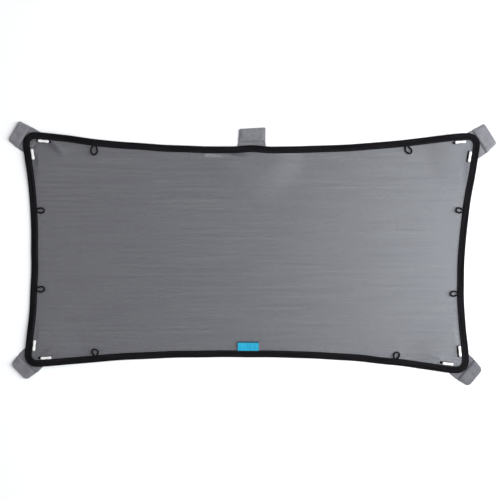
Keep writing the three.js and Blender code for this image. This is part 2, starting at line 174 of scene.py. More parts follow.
binding_low, binding_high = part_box("edge_binding")
SHIFT = np.array((binding_low.x / MM + TOP_WIDTH / 2, binding_high.y / MM - LEFT_HEIGHT / 2))

top_left = np.array((-TOP_WIDTH / 2, LEFT_HEIGHT / 2))
top_right = np.array((TOP_WIDTH / 2, top_left[1] - TOP_RIGHT_DROP))
bottom_right = np.array((top_right[0] - BOTTOM_RIGHT_INSET, top_right[1] - RIGHT_HEIGHT))
bottom_left = np.array((top_left[0] + BOTTOM_LEFT_INSET, top_left[1] - LEFT_HEIGHT))

arcs = {
    "top_left": corner_arc(top_left, 180),
    "top_right": corner_arc(top_right, 90),
    "bottom_right": corner_arc(bottom_right, 0),
    "bottom_left": corner_arc(bottom_left, -90),
}
ends = {name: (points[0], points[-1]) for name, (_, points) in arcs.items()}
top = side_halves(ends["top_left"][1], ends["top_right"][0], TOP_SAG, TOP_DEEPEST, LONG_LEVEL, LONG_SHOULDER)
right = side_halves(
    ends["top_right"][1], ends["bottom_right"][0], RIGHT_SAG, RIGHT_DEEPEST, RIGHT_LEVEL, SHORT_SHOULDER
)
bottom = side_halves(
    ends["bottom_right"][1], ends["bottom_left"][0], BOTTOM_SAG, 1 - BOTTOM_DEEPEST, LONG_LEVEL, LONG_SHOULDER
)
left = side_halves(
    ends["bottom_left"][1], ends["top_left"][0], LEFT_SAG, 1 - LEFT_DEEPEST, LEFT_LEVEL, SHORT_SHOULDER
)


def fade(t):
    """A half wave that falls from 1 at 0 to 0 at 1."""
    return 0.5 + 0.5 * np.cos(np.pi * np.clip(t, 0, 1))


centre_x = top[0][-1][0] + CENTRE_POUCH_ASIDE


def bulged(points):
    """Moves the top edge outwards over the neck of the centre pouch."""
    out = CENTRE_BULGE * fade(np.abs(points[:, 0] - centre_x) / CENTRE_BULGE_REACH)
    return points + np.stack([np.zeros(len(points)), out], axis=-1)


loop_of_parts = [
    arcs["top_left"][1], bulged(top[0]), bulged(top[1]),
    arcs["top_right"][1], *right,
    arcs["bottom_right"][1], *bottom,
    arcs["bottom_left"][1], *left,
]
outline = Line(
    np.concatenate([part[:-1] for part in loop_of_parts] + [arcs["top_left"][1][:1]]) + SHIFT, closed=True
)
part_lengths = [Line(part).length for part in loop_of_parts]
part_starts = np.concatenate(([0.0], np.cumsum(part_lengths)))[:-1]
middle_of_corner = {
    name: part_starts[3 * i] + part_lengths[3 * i] / 2
    for i, name in enumerate(("top_left", "top_right", "bottom_right", "bottom_left"))
}


class Pouch:
    """Where a pouch starts on the binding's outer edge, the way out, and its sizes in millimetres. The
    neck's half widths and the end's rounds are given for its left and right side, seen outwards."""

    def __init__(
        self, start, angle, reach=19, pocket=18.5, end_width=31.5, neck=(19, 19), rounds=(3.5, 3.5),
        slant=0.0, dye=0.0,
    ):
        turn = math.radians(angle)
        self.out = np.array((math.cos(turn), math.sin(turn)))
        self.across = np.array((-self.out[1], self.out[0]))
        self.start = np.asarray(start, float)
        self.reach = reach
        self.seam = reach - pocket
        self.end_width = end_width
        self.neck = neck
        self.rounds = rounds
        self.slant = slant
        self.dye = dye

    def place(self, x, y):
        return self.start + np.multiply.outer(x, self.out) + np.multiply.outer(y, self.across)


def corner_pouch(corner, angle, offset, **sizes):
    """A pouch that points out from a corner's round, set off to its left."""
    turn = math.radians(angle)
    out = np.array((math.cos(turn), math.sin(turn)))
    start = arcs[corner][0] + SHIFT + out * CORNER_RADIUS + np.array((-out[1], out[0])) * offset
    return Pouch(start, angle, **sizes)


# The tone given last lightens or darkens each pouch's jersey: painted light and shade, as the pouches are lit
# unequally
pouches = {
    "top_left": corner_pouch("top_left", 150.3, -1.7, neck=(19.5, 16.8), rounds=(3.6, 3.2)),
    "top_right": corner_pouch(
        "top_right", 32.3, -3.5, pocket=20, end_width=33, neck=(18.2, 20.6), rounds=(2.0, 3.2), dye=0.06
    ),
    "bottom_right": corner_pouch("bottom_right", -40.1, -1.3, rounds=(6.0, 5.0), dye=-0.13),
    "bottom_left": corner_pouch(
        "bottom_left", 225, -1.4, pocket=16.5, neck=(19, 17.6), rounds=(5.0, 6.2), dye=-0.06
    ),
    "top_centre": Pouch(
        np.array((centre_x, top[0][-1][1] + CENTRE_BULGE)) + SHIFT, 90,
        reach=24, end_width=37, neck=(20.8, 18.8), rounds=(1.6, 1.2), slant=-1.1, dye=-0.03,
    ),
}
rise_centres = [p.start - p.out * BINDING_WIDTH / 2 for p in pouches.values()]


def rise(x, y):
    """How far the shade is lifted where it passes over a pouch's neck."""
    nearest = np.min([np.hypot(x - c[0], y - c[1]) for c in rise_centres], axis=0)
    return NECK_RISE * fade((nearest - RISE_PLATEAU) / RISE_FALL)


def waves(seed, wavelength, *coordinates):
    """Smooth, seeded unevenness from -1 to 1, of about one wavelength, over one or two coordinates."""
    rng = np.random.RandomState(seed)
    total = 0.0
    for _ in range(5):
        turn, phase = rng.uniform(0, 2 * math.pi, 2)
        length = wavelength * rng.uniform(0.7, 1.5)
        ways = (1,) if len(coordinates) == 1 else (math.cos(turn), math.sin(turn))
        total = total + np.sin(sum(w * c for w, c in zip(ways, coordinates)) * 2 * math.pi / length + phase)
    return total / 3.2


# Materials


def colour(code):
    """An sRGB hex value as linear red, green, blue and alpha."""
    parts = [int(code[i : i + 2], 16) / 255 for i in (1, 3, 5)]
    return [p / 12.92 if p <= 0.04045 else ((p + 0.055) / 1.055) ** 2.4 for p in parts] + [1.0]


def add(tree, kind, settings, inputs, stops=()):
    """Adds a node with its settings. An input that is a socket is linked, and any other is set. Stops are
    the positions and hex colours of a colour ramp, from its start to its end."""
    made = tree.nodes.new(kind)
    for name, value in settings.items():
        setattr(made, name, value)
    for name, value in inputs.items():
        if isinstance(value, bpy.types.NodeSocket):
            tree.links.new(value, made.inputs[name])
        else:
            made.inputs[name].default_value = value
    if stops:
        elements = made.color_ramp.elements
        elements[0].position, elements[0].color = stops[0][0], colour(stops[0][1])
        elements[1].position, elements[1].color = stops[-1][0], colour(stops[-1][1])
        for position, code in stops[1:-1]:
            elements.new(position).color = colour(code)
    return made


def new_material(name):
    material = bpy.data.materials.new(name)
    material.use_nodes = True
    material.node_tree.nodes.clear()
    return material, material.node_tree


def finished(material, inputs):
    """Gives the material a surface with those inputs."""
    shader = add(material.node_tree, "ShaderNodeBsdfPrincipled", {}, inputs)
    add(material.node_tree, "ShaderNodeOutputMaterial", {}, {"Surface": shader.outputs["BSDF"]})
    return material


def shade_mesh():
    """Warp-knitted polyester net in charcoal: thin glossy threads round small round holes, which the
    white of the floor shows through, so that from afar it reads as an even grey with faint courses."""
    material, tree = new_material("warp_knitted_net")
    # Holes 1.08 mm apart across and 1 mm along, in offset rows, as net is knitted
    wide, high = 1.08, 1.0
    where = add(tree, "ShaderNodeTexCoord", {}, {}).outputs["Object"]
    cells = add(
        tree, "ShaderNodeMapping", {}, {"Vector": where, "Scale": (1000 / wide, 1000 / high, 0)}
    ).outputs["Vector"]
    distances = []
    for offset in ((0, 0, 0), (0.5, 0.5, 0)):
        moved = add(tree, "ShaderNodeVectorMath", {"operation": "ADD"}, {0: cells, 1: offset}).outputs[0]
        part = add(tree, "ShaderNodeVectorMath", {"operation": "FRACTION"}, {0: moved}).outputs[0]
        from_hole = add(
            tree, "ShaderNodeVectorMath", {"operation": "MULTIPLY_ADD"},
            {0: part, 1: (wide, high, 0), 2: (-wide / 2, -high / 2, 0)},
        ).outputs[0]
        distances.append(
            add(tree, "ShaderNodeVectorMath", {"operation": "LENGTH"}, {0: from_hole}).outputs["Value"]
        )
    hole = add(
        tree, "ShaderNodeMath", {"operation": "MINIMUM"}, dict(enumerate(distances))
    ).outputs[0]
    # Courses of the knit: streaks about 140 mm long and 4 mm high that the tension opens or closes
    stretched = add(tree, "ShaderNodeMapping", {}, {"Vector": where, "Scale": (7, 260, 1)}).outputs["Vector"]
    courses = add(
        tree, "ShaderNodeTexNoise", {}, {"Vector": stretched, "Scale": 1.0, "Detail": 2.0, "Roughness": 0.55}
    ).outputs["Fac"]
    edge = add(
        tree, "ShaderNodeMapRange", {},
        {"Value": courses, "From Min": 0.3, "From Max": 0.7, "To Min": 0.225, "To Max": 0.189},
    ).outputs["Result"]
    # The holes close where the cloth is drawn into a fold and open where it is pulled flat beside one; this
    # also paints the folds' shade on their dark bands and painted light on their lit bands
    drawn = add(tree, "ShaderNodeAttribute", {"attribute_name": "fold_cover_and_painted_shade"}, {}).outputs["Fac"]
    opening = add(
        tree, "ShaderNodeMath", {"operation": "MULTIPLY_ADD"}, {0: drawn, 1: -0.1, 2: edge}
    ).outputs[0]
    beyond = add(tree, "ShaderNodeMath", {"operation": "SUBTRACT"}, {0: hole, 1: opening}).outputs[0]
    cover = add(
        tree, "ShaderNodeMapRange", {}, {"Value": beyond, "From Min": -0.03, "From Max": 0.03}
    ).outputs["Result"]
    thread = add(
        tree, "ShaderNodeValToRGB", {}, {"Fac": courses}, [(0.3, "#2a2933"), (0.7, "#383742")]
    ).outputs["Color"]
    round_thread = add(
        tree, "ShaderNodeBump", {}, {"Height": hole, "Strength": 0.5, "Distance": 0.00025}
    ).outputs["Normal"]
    return finished(material, {
        "Base Color": thread, "Roughness": 0.36, "Alpha": cover, "Normal": round_thread,
        "Specular IOR Level": 1.0,
    })


def bands(spacing):
    """The scale at which a wave texture on metres draws its bands that many millimetres apart."""
    return 2 * math.pi / 20 / (spacing * MM)


def woven_tape(name, dark, light, rib, cross, roughness, bump, gloss, fold_line=None):
    """Elastic or ribbon woven flat: fine ribs across the tape and finer warp threads along it. It may be
    darker along a line across it, at which it is folded, as painted shade of the fold."""
    material, tree = new_material(name)
    along = add(tree, "ShaderNodeUVMap", {"uv_map": "cloth"}, {}).outputs["UV"]
    ribs = add(
        tree, "ShaderNodeTexWave", {"wave_type": "BANDS", "bands_direction": "X", "wave_profile": "SIN"},
        {"Vector": along, "Scale": bands(rib), "Distortion": 1.5, "Detail": 2.0, "Detail Scale": 1.5},
    ).outputs["Fac"]
    warps = add(
        tree, "ShaderNodeTexWave", {"wave_type": "BANDS", "bands_direction": "Y", "wave_profile": "SIN"},
        {"Vector": along, "Scale": bands(cross), "Distortion": 0.8, "Detail": 1.0},
    ).outputs["Fac"]
    weave = add(tree, "ShaderNodeMath", {"operation": "MULTIPLY"}, {0: ribs, 1: warps}).outputs[0]
    # Bands about 3 mm wide that run along the tape, where it is rubbed or its warps lie closer
    stretched = add(tree, "ShaderNodeMapping", {}, {"Vector": along, "Scale": (18, 330, 1)}).outputs["Vector"]
    wear = add(
        tree, "ShaderNodeTexNoise", {}, {"Vector": stretched, "Scale": 1.0, "Detail": 3.0}
    ).outputs["Fac"]
    tone = add(tree, "ShaderNodeMath", {"operation": "MULTIPLY_ADD"}, {0: wear, 1: 1.6, 2: weave}).outputs[0]
    hue = add(
        tree, "ShaderNodeValToRGB", {}, {"Fac": tone}, [(0.7, dark), (1.0, light)]
    ).outputs["Color"]
    # Painted shade of the fold: darker within about 2 mm of the line where the tape turns over
    if fold_line:
        length = add(tree, "ShaderNodeSeparateXYZ", {}, {"Vector": along}).outputs["X"]
        from_fold = add(
            tree, "ShaderNodeMath", {"operation": "SUBTRACT"}, {0: length, 1: fold_line[0] * MM}
        ).outputs[0]
        away = add(tree, "ShaderNodeMath", {"operation": "ABSOLUTE"}, {0: from_fold}).outputs[0]
        fold_shade = add(
            tree, "ShaderNodeMapRange", {},
            {"Value": away, "From Min": 1.2 * MM, "From Max": 2.0 * MM, "To Min": 1.0, "To Max": 0.0},
        ).outputs["Result"]
        hue = add(
            tree, "ShaderNodeMix", {"data_type": "RGBA"}, {"Factor": fold_shade, 6: hue, 7: colour(fold_line[1])}
        ).outputs[2]
    normal = add(
        tree, "ShaderNodeBump", {}, {"Height": weave, "Strength": bump, "Distance": 0.00015}
    ).outputs["Normal"]
    rough = add(
        tree, "ShaderNodeMapRange", {},
        {"Value": wear, "To Min": roughness + 0.08, "To Max": roughness - 0.08},
    ).outputs["Result"]
    return finished(
        material, {"Base Color": hue, "Roughness": rough, "Normal": normal, "Specular IOR Level": gloss}
    )


def pouch_fabric():
    """Heathered grey jersey with a brushed face: pale and dark fibres mixed, soft and without shine."""
    material, tree = new_material("heathered_jersey")
    where = add(tree, "ShaderNodeTexCoord", {}, {}).outputs["Object"]
    # Fibres are drawn about 0.5 mm thick and 2 mm long, coarser than real ones, so that they show
    fibres = add(
        tree, "ShaderNodeMapping", {}, {"Vector": where, "Scale": (500, 1900, 1900), "Rotation": (0, 0, 0.5)}
    ).outputs["Vector"]
    heather = add(
        tree, "ShaderNodeTexNoise", {}, {"Vector": fibres, "Scale": 1.0, "Detail": 4.0, "Roughness": 0.65}
    ).outputs["Fac"]
    loops = add(
        tree, "ShaderNodeTexVoronoi", {"feature": "F1"}, {"Vector": where, "Scale": 1300.0, "Randomness": 0.6}
    ).outputs["Distance"]
    cloud = add(
        tree, "ShaderNodeTexNoise", {}, {"Vector": where, "Scale": 120.0, "Detail": 2.0}
    ).outputs["Fac"]
    # Each pouch's jersey is made lighter or darker by its own amount: painted light and shade for how
    # strongly each pouch is lit
    dye = add(tree, "ShaderNodeAttribute", {"attribute_name": "dye"}, {}).outputs["Fac"]
    dyed = add(tree, "ShaderNodeMath", {"operation": "ADD"}, {0: heather, 1: dye}).outputs[0]
    tone = add(
        tree, "ShaderNodeMath", {"operation": "MULTIPLY_ADD"}, {0: cloud, 1: 0.35, 2: dyed}
    ).outputs[0]
    hue = add(
        tree, "ShaderNodeValToRGB", {}, {"Fac": tone},
        [(0.42, "#57565b"), (0.68, "#727176"), (0.95, "#8f8e92")],
    ).outputs["Color"]
    height = add(
        tree, "ShaderNodeMath", {"operation": "MULTIPLY_ADD"}, {0: loops, 1: -0.6, 2: heather}
    ).outputs[0]
    normal = add(
        tree, "ShaderNodeBump", {}, {"Height": height, "Strength": 0.45, "Distance": 0.0003}
    ).outputs["Normal"]
    return finished(material, {
        "Base Color": hue, "Roughness": 0.95, "Normal": normal, "Specular IOR Level": 0.15,
        "Sheen Weight": 0.3, "Sheen Roughness": 0.5,
    })


def braided_cord():
    """Braided polyester sheath over a rubber core: black, with small crossing strands that catch light."""
    material, tree = new_material("braided_elastic_cord")
    along = add(tree, "ShaderNodeUVMap", {"uv_map": "cloth"}, {}).outputs["UV"]
    strands = []
    for turn in (0.9, -0.9):
        slanted = add(
            tree, "ShaderNodeMapping", {}, {"Vector": along, "Rotation": (0, 0, turn)}
        ).outputs["Vector"]
        strands.append(add(
            tree, "ShaderNodeTexWave", {"wave_type": "BANDS", "bands_direction": "X"},
            {"Vector": slanted, "Scale": bands(1.2)},
        ).outputs["Fac"])
    braid = add(tree, "ShaderNodeMath", {"operation": "MAXIMUM"}, {0: strands[0], 1: strands[1]}).outputs[0]
    hue = add(
        tree, "ShaderNodeValToRGB", {}, {"Fac": braid}, [(0.2, "#040405"), (1.0, "#121115")]
    ).outputs["Color"]
    normal = add(
        tree, "ShaderNodeBump", {}, {"Height": braid, "Strength": 0.6, "Distance": 0.0001}
    ).outputs["Normal"]
    return finished(
        material, {"Base Color": hue, "Roughness": 0.7, "Normal": normal, "Specular IOR Level": 0.1}
    )


def moulded_nylon():
    """White moulded nylon: slightly waxy, with a fine spark texture left by the mould."""
    material, tree = new_material("white_moulded_nylon")
    where = add(tree, "ShaderNodeTexCoord", {}, {}).outputs["Object"]
    spark = add(
        tree, "ShaderNodeTexNoise", {}, {"Vector": where, "Scale": 2200.0, "Detail": 2.0}
    ).outputs["Fac"]
    cloud = add(
        tree, "ShaderNodeTexNoise", {}, {"Vector": where, "Scale": 220.0, "Detail": 1.0}
    ).outputs["Fac"]
    hue = add(
        tree, "ShaderNodeValToRGB", {}, {"Fac": cloud}, [(0.3, "#d9d8d6"), (0.7, "#eceae8")]
    ).outputs["Color"]
    rough = add(
        tree, "ShaderNodeMapRange", {}, {"Value": spark, "To Min": 0.34, "To Max": 0.5}
    ).outputs["Result"]
    normal = add(
        tree, "ShaderNodeBump", {}, {"Height": spark, "Strength": 0.15, "Distance": 0.0001}
    ).outputs["Normal"]
    return finished(material, {"Base Color": hue, "Roughness": rough, "Normal": normal, "IOR": 1.53})


def sewing_thread(name, dark, light):
    """Twisted polyester sewing thread: fine slanted plies with a low lustre."""
    material, tree = new_material(name)
    where = add(tree, "ShaderNodeTexCoord", {}, {}).outputs["Object"]
    plies = add(
        tree, "ShaderNodeTexWave", {"wave_type": "BANDS", "bands_direction": "DIAGONAL"},
        {"Vector": where, "Scale": bands(0.6), "Distortion": 1.0},
    ).outputs["Fac"]
    hue = add(
        tree, "ShaderNodeValToRGB", {}, {"Fac": plies}, [(0.2, dark), (0.9, light)]
    ).outputs["Color"]
    normal = add(
        tree, "ShaderNodeBump", {}, {"Height": plies, "Strength": 0.4, "Distance": 0.00005}
    ).outputs["Normal"]
    return finished(
        material, {"Base Color": hue, "Roughness": 0.55, "Normal": normal, "Specular IOR Level": 0.3}
    )


def nickel_plating():
    """Nickel plate on a pressed magnet: bright metal, faintly clouded and rubbed in patches."""
    material, tree = new_material("nickel_plating")
    where = add(tree, "ShaderNodeTexCoord", {}, {}).outputs["Object"]
    rubbed = add(
        tree, "ShaderNodeTexNoise", {}, {"Vector": where, "Scale": 350.0, "Detail": 3.0}
    ).outputs["Fac"]
    hue = add(
        tree, "ShaderNodeValToRGB", {}, {"Fac": rubbed}, [(0.3, "#b6b4ae"), (0.7, "#cdccc8")]
    ).outputs["Color"]
    rough = add(
        tree, "ShaderNodeMapRange", {}, {"Value": rubbed, "To Min": 0.18, "To Max": 0.36}
    ).outputs["Result"]
    return finished(material, {"Base Color": hue, "Roughness": rough, "Metallic": 1.0})


def floor_paper():
    """White background paper, matt and without marks."""
    material, tree = new_material("background_paper")
    return finished(material, {"Base Color": colour("#f6f6f6"), "Roughness": 0.9, "Specular IOR Level": 0.1})


NET = shade_mesh()
# Fold-over elastic: ribs about 0.8 mm apart across it, warps 0.55 mm apart
ELASTIC = woven_tape("fold_over_elastic", "#050505", "#19181b", 0.8, 0.55, 0.8, 0.6, 0.03)
# Woven label tape: picks 0.45 mm apart, warps 0.3 mm apart, with the lustre of its filament yarn
# The darker line across the label at its fold is painted shade
LABEL_TAPE = woven_tape(
    "woven_label_tape", "#0a7fa2", "#179dc0", 0.45, 0.3, 0.5, 0.35, 0.3, fold_line=(13.9, "#0a4a5a")
)
# Soft tape like a woven ribbon: ribs 0.6 mm apart, warps 0.4 mm apart; near black, as the tapes also stand in
# for the toggles' shadows
KEEPER_TAPE_AND_SHADOW = woven_tape("keeper_tape_and_painted_shadow", "#040405", "#121114", 0.6, 0.4, 0.8, 0.4, 0.06)
JERSEY = pouch_fabric()
CORD = braided_cord()
NYLON = moulded_nylon()
BLACK_THREAD = sewing_thread("black_sewing_thread", "#0c0b0e", "#2c2b31")
# The pouches' thread is darker than their jersey, partly as painted shade in the groove of each pouch's seam
GREY_THREAD_AND_SEAM_SHADE = sewing_thread("grey_sewing_thread_and_seam_shade", "#232226", "#4a494d")
NICKEL = nickel_plating()


# Mesh making


def write_points(bm, points):
    """Moves the vertices to points given in millimetres."""
    for vert, point in zip(bm.verts, np.asarray(points, float) * MM):
        vert.co = point


def grid_of_cloth(columns, rows, size, place, closed=False):
    """A grid laid out by place(along, across), both from 0 to 1. Its map holds its flat size in metres."""
    bm = bmesh.new()
    uv = bm.loops.layers.uv.new("cloth")
    bmesh.ops.create_grid(bm, x_segments=columns, y_segments=rows, size=0.5)
    for face in bm.faces:
        for corner in face.loops:
            x, y, _ = corner.vert.co
            corner[uv].uv = ((x + 0.5) * size[0] * MM, (y + 0.5) * size[1] * MM)
    flat = np.array([vert.co for vert in bm.verts])
    write_points(bm, place(flat[:, 0] + 0.5, flat[:, 1] + 0.5))
    if closed:
        bmesh.ops.remove_doubles(bm, verts=bm.verts, dist=1e-7)
        bmesh.ops.recalc_face_normals(bm, faces=bm.faces)
    return bm


def block_of_cells(cuts):
    """A block from -1 to 1 whose edges along x, y and z are cut that often."""
    bm = bmesh.new()
    bmesh.ops.create_cube(bm, size=2)
    for axis, number in enumerate(cuts):
        edges = [e for e in bm.edges if abs(e.verts[0].co[axis] - e.verts[1].co[axis]) > 1e-6]
        bmesh.ops.subdivide_edges(bm, edges=edges, cuts=number, use_grid_fill=True)
    return bm


def piece(name, bm, finish, slot, *nodes):
    """Makes the finished object, which rides on the part and stands for those nodes."""
    data = bpy.data.meshes.new(name)
    bm.to_mesh(data)
    bm.free()
    data.polygons.foreach_set("use_smooth", [True] * len(data.polygons))
    data.materials.append(finish)
    made = bpy.data.objects.new(name, data)
    bpy.context.scene.collection.objects.link(made)
    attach(made, "root")
    if nodes:
        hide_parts(*nodes)
    return made


# Places of the loops and toggles: each half side, measured from its corner


def half_side(points, from_start, loop_from_corner):
    """How to mark a place so far from its corner, and the place of its loop."""
    line = Line(points + SHIFT)

    def mark(distance):
        d = distance if from_start else line.length - distance
        return line.at(d), line.inward(d)

    return {"mark": mark, "loop_from_corner": loop_from_corner}


half_sides = {
    "top_left": half_side(top[0], True, LOOP_FROM_CORNER_LONG),
    "top_right": half_side(top[1], False, LOOP_FROM_CORNER_LONG),
    "right_upper": half_side(right[0], True, LOOP_FROM_CORNER_SHORT),
    "right_lower": half_side(right[1], False, LOOP_FROM_CORNER_SHORT),
    "bottom_right": half_side(bottom[0], True, LOOP_FROM_CORNER_LONG),
    "bottom_left": half_side(bottom[1], False, LOOP_FROM_CORNER_LONG),
    "left_lower": half_side(left[0], True, LOOP_FROM_CORNER_SHORT),
    "left_upper": half_side(left[1], False, LOOP_FROM_CORNER_SHORT),
}


def from_mark(mark, inward, across, depth=0.0):
    """A point that far into the shade from a mark on the outer edge, and that far along the edge."""
    point, way = mark
    along = np.array((-way[1], way[0]))
    return point + np.multiply.outer(np.asarray(inward) + depth, way) + np.multiply.outer(across, along)


# Each loop's length and width as shares of the usual course, its tip's lean and its shift along the edge
LOOP_SHAPES = {
    "top_left": (1.0, 1.0, 0.3, 2.1), "top_right": (0.8, 0.95, 3.2, -4.4),
    "right_upper": (0.72, 0.78, -0.4, 2.9), "right_lower": (0.74, 0.8, 0.3, -3.1),
    "bottom_right": (0.7, 0.9, -0.6, 4.7), "bottom_left": (0.66, 1.0, 0.5, 0.0),
    "left_lower": (0.8, 0.88, 0.6, 0.7), "left_upper": (0.8, 0.8, -0.8, -2.1),
}
loop_roots = [
    from_mark(half["mark"](half["loop_from_corner"]), 0.0, LOOP_SHAPES[name][3])
    for name, half in half_sides.items()
]


# Edge binding

# Section of the folded elastic: depth from the outer edge, and height, clockwise from its inner foot
SECTION = [
    (9.9, 0.1), (8.2, 0.14), (6, 0.0), (3, 0.0), (1.2, 0.15), (0.3, 0.8), (0.0, 1.55), (0.35, 2.35),
    (1.3, 3.0), (2.5, 3.32), (3.9, 3.4), (5.1, 3.02), (6.4, 3.38), (7.5, 3.24), (8.3, 2.8), (9.1, 3.06),
    (9.75, 2.92), (10.0, 2.4), (9.9, 1.7), (9.2, 1.85), (2.0, 2.0), (1.5, 1.55), (2.0, 1.1), (9.2, 1.3),
    (9.9, 1.42), (10.0, 0.7),
]
# The points from this one on line the slot, where the mesh hides them
HIDDEN_FROM = 18
SLOT_MIDDLE = 2
SECTION_POINTS = 32
# How deep and wide each stitch dents the tape
STITCH_DENT, STITCH_DENT_WIDTH = 0.22, 0.9
# Pitch and depth of the gathers round the corners, and depth of the unevenness of the sewing by hand
GATHER_PITCH, GATHER_DEPTH = 4.9, 0.22
HAND_DEPTH = 0.3
# How high a loop lifts the lip over it, how far from its middle, and the length of the fall
LOOP_LIFT, LOOP_LIFT_REACH, LOOP_LIFT_FALL = 0.95, 8.5, 2.6


def rounded_section(count):
    """The section's corners cut twice, then spaced out, sparsely where the mesh lies in its slot."""
    points = np.array(SECTION, float)
    hidden = np.arange(len(points)) >= HIDDEN_FROM
    for _ in range(2):
        after, hidden_after = np.roll(points, -1, axis=0), np.roll(hidden, -1)
        points = np.stack([0.75 * points + 0.25 * after, 0.25 * points + 0.75 * after], axis=1).reshape(-1, 2)
        hidden = np.stack([hidden, hidden & hidden_after], axis=1).reshape(-1)
    ring = np.concatenate([points, points[:1]])
    steps = np.hypot(*np.diff(ring, axis=0).T) * np.where(hidden, 0.25, 1)
    reach = np.concatenate(([0], np.cumsum(steps)))
    share = np.linspace(0, reach[-1], count + 1)
    return np.stack([np.interp(share, reach, ring[:, k]) for k in (0, 1)], axis=-1)


section = rounded_section(SECTION_POINTS)
stitch_count = round(outline.length / STITCH_PITCH)
stitch_pitch = outline.length / stitch_count


def near_corner(distance):
    """1 in the round of a corner, fading out 30 mm away from it."""
    away = [np.abs((distance - m + outline.length / 2) % outline.length - outline.length / 2)
            for m in middle_of_corner.values()]
    return fade((np.min(away, axis=0) - 14) / 30)


def binding_points(along, across):
    distance = along * outline.length
    ring = across * SECTION_POINTS
    depth = np.interp(ring, np.arange(SECTION_POINTS + 1), section[:, 0])
    height = np.interp(ring, np.arange(SECTION_POINTS + 1), section[:, 1])
    half_width = BINDING_WIDTH / 2
    inner = np.clip((depth - half_width) / half_width, 0, 1)
    turn = 2 * math.pi / stitch_pitch * distance
    top_ply = height > SLOT_MIDDLE
    # Each stitch pulls the tape down and draws its inner edge in a little
    dent = np.exp(-(((depth - STITCH_DEPTH) / STITCH_DENT_WIDTH) ** 2)) * (0.5 + 0.5 * np.cos(turn))
    gather = near_corner(distance) * np.sin(2 * math.pi * distance / GATHER_PITCH + waves(3, 40, distance))
    hand = waves(5, 55, np.cos(along * 2 * math.pi) * 310, np.sin(along * 2 * math.pi) * 310)
    depth = depth + inner * (0.12 * np.cos(turn) + GATHER_DEPTH * gather) + HAND_DEPTH * hand
    flat = outline.inset(distance, depth)
    lift = np.zeros(len(flat))
    for root in loop_roots:
        away = np.hypot(flat[:, 0] - root[0], flat[:, 1] - root[1])
        fall = np.exp(-((np.clip(away - LOOP_LIFT_REACH, 0, None) / LOOP_LIFT_FALL) ** 2))
        lift = np.maximum(lift, LOOP_LIFT * inner * fall)
    uneven = -STITCH_DENT * dent + 0.12 * inner * gather + lift + 0.08 * hand * inner
    height = height + np.where(top_ply, uneven, 0)
    return np.column_stack([flat, height + rise(flat[:, 0], flat[:, 1])])


section_length = float(np.hypot(*np.diff(section, axis=0).T).sum())
band = grid_of_cloth(
    4 * stitch_count, SECTION_POINTS, (outline.length, section_length), binding_points, closed=True
)
binding = piece("binding", band, ELASTIC, "elastic_binding", "edge_binding")


def stitches(name, starts, ends, thickness, finish, slot):
    """One sunk stitch from each start to its end."""
    bm = bmesh.new()
    for start, end in zip(starts, ends):
        start, end = Vector(start) * MM, Vector(end) * MM
        way = end - start
        placed = (
            Matrix.Translation((start + end) / 2)
            @ way.to_track_quat("Z", "Y").to_matrix().to_4x4()
            @ Matrix.Diagonal((thickness / 2 * MM, thickness / 2 * MM, way.length / 2, 1))
        )
        bmesh.ops.create_uvsphere(bm, u_segments=6, v_segments=5, radius=1, matrix=placed)
    return piece(name, bm, finish, slot)


def stitch_ends(length):
    middles = (np.arange(stitch_count) + 0.5) * stitch_pitch
    found = []
    for side in (-0.5, 0.5):
        distance = middles + side * length
        flat = outline.inset(distance, np.full(stitch_count, STITCH_DEPTH))
        found.append(np.column_stack([flat, LIP_HEIGHT + 0.02 + rise(flat[:, 0], flat[:, 1])]))
    return found


binding_seam = stitches("binding_seam", *stitch_ends(3.1), 0.5, BLACK_THREAD, "elastic_binding")


# Mesh panel: one taut sheet whose edge lies in the binding's slot

# Soft folds: from, to, half width, height and how far the holes are drawn in, which paints shade along a fold
# (above 0) and light beside it (below 0)
FOLDS = [
    (-290, 161, -270, 139, 3.2, 0.9, 1.3),
    (-281, 160, -262, 142, 2.4, -0.2, -0.3),
    (-312, 151, -300, 161, 1.4, 0.3, 0.9),
    (-315.5, 153, -304, 164.5, 1.0, 0.1, -0.9),
    (-308, 141, -307, 108, 1.5, 0.5, 1.3),
    (-306, -118, -304, -92, 1.6, 0.4, 0.4),
    (-296, -140, -282, -129, 2.6, 0.4, 0.4),
    (-27, 142.5, -3, 139.5, 2.2, 0.8, 1.5),
    (-66, 141, -30, 138.5, 1.8, 0.3, -0.9),
    (14, 144.5, 72, 142, 1.6, 0.3, -0.9),
    (309, 126, 306, 98, 2.0, 0.15, 1.4),
    (290, -128, 288, -100, 2.4, 0.3, -0.35),
    (268, -150, 246, -143, 2.2, 0.3, 0.35),
]


FOLD_HEIGHT, FOLD_COVER_AND_PAINTED_SHADE = 5, 6


def folded(x, y, column):
    """The sum at these places of that column of the folds: their height, or how they draw the holes in, which
    also paints their shade and light.
    """
    total = np.zeros(len(x))
    for fold in FOLDS:
        x0, y0, x1, y1, width = fold[:5]
        way = np.array((x1 - x0, y1 - y0), float)
        share = np.clip(((x - x0) * way[0] + (y - y0) * way[1]) / (way @ way), 0, 1)
        away = np.hypot(x - x0 - share * way[0], y - y0 - share * way[1])
        total += fold[column] * np.exp(-((away / width) ** 2)) * (1 - share**2)
    return total


corner_marks = [*middle_of_corner.values(), middle_of_corner["top_left"] + outline.length]


